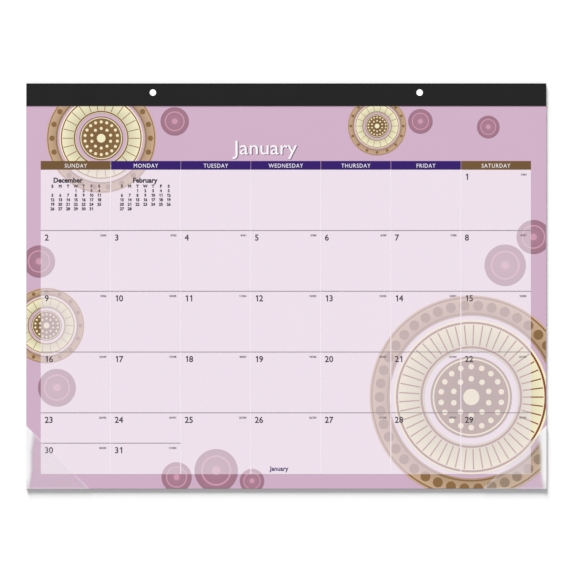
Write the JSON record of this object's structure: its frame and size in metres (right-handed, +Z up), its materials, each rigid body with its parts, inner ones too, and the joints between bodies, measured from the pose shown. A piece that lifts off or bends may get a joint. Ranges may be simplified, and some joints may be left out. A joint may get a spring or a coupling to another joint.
{
  "type": "desk pad calendar",
  "caption": "Wide desk pad of monthly date-grid sheets on a backing board, with a black folded headband with hanging holes and clear film pockets at the lower corners.",
  "frame": {"origin": "centre of the pad's outline, on the surface it lies on", "axes": "+X along the long edge to the reader's right, +Y towards the headband, +Z up off the desk"},
  "size_m": [0.553, 0.431, 0.0031],
  "materials": {
    "chipboard": "uncoated grey chipboard, slightly speckled",
    "sheet_paper": "smooth uncoated paper printed dusty lilac to its edges",
    "headband_leatherette": "matt black leatherette strip with fine grain",
    "clear_film": "clear glossy film",
    "staple_wire": "bright flat steel wire",
    "print_lilac": "pale lilac ink",
    "print_brown_bar": "brown ink",
    "print_purple_bar": "deep purple ink",
    "print_pale_rule": "near-white ink",
    "print_grey_rule": "mauve-grey ink",
    "print_mauve": "dusty mauve ink",
    "print_tan": "tan ink",
    "print_cream": "cream ink",
    "print_brown": "warm brown ink"
  },
  "bodies": {
    "root": {"backing_board": "chipboard", "clear_corner_left": "clear_film", "clear_corner_right": "clear_film", "headband": "headband_leatherette", "print_bar_friday": "print_purple_bar", "print_bar_monday": "print_purple_bar", "print_bar_saturday": "print_brown_bar", "print_bar_sunday": "print_brown_bar", "print_bar_thursday": "print_purple_bar", "print_bar_tuesday": "print_purple_bar", "print_bar_wednesday": "print_purple_bar", "print_date_panel": "print_lilac", "print_day_rule_1": "print_pale_rule", "print_day_rule_2": "print_pale_rule", "print_day_rule_3": "print_pale_rule", "print_day_rule_4": "print_pale_rule", "print_day_rule_5": "print_pale_rule", "print_day_rule_6": "print_pale_rule", "print_disc_1": "print_mauve", "print_disc_10": "print_mauve", "print_disc_2": "print_mauve", "print_disc_3": "print_mauve", "print_disc_4": "print_mauve", "print_disc_5": "print_mauve", "print_disc_6": "print_mauve", "print_disc_7": "print_mauve", "print_disc_8": "print_mauve", "print_disc_9": "print_mauve", "print_medallion_1_ring_1": "print_tan", "print_medallion_1_ring_2": "print_cream", "print_medallion_1_ring_3": "print_brown", "print_medallion_2_ring_1": "print_tan", "print_medallion_2_ring_2": "print_cream", "print_medallion_2_ring_3": "print_brown", "print_medallion_3_ring_1": "print_tan", "print_medallion_3_ring_2": "print_cream", "print_medallion_3_ring_3": "print_brown", "print_medallion_4_ring_1": "print_tan", "print_medallion_4_ring_2": "print_cream", "print_medallion_4_ring_3": "print_brown", "print_split_rule": "print_grey_rule", "print_week_rule_1": "print_grey_rule", "print_week_rule_2": "print_grey_rule", "print_week_rule_3": "print_grey_rule", "print_week_rule_4": "print_grey_rule", "sheet_pad": "sheet_paper", "staple_1": "staple_wire", "staple_2": "staple_wire", "staple_3": "staple_wire", "staple_4": "staple_wire"}
  },
  "joints": []
}
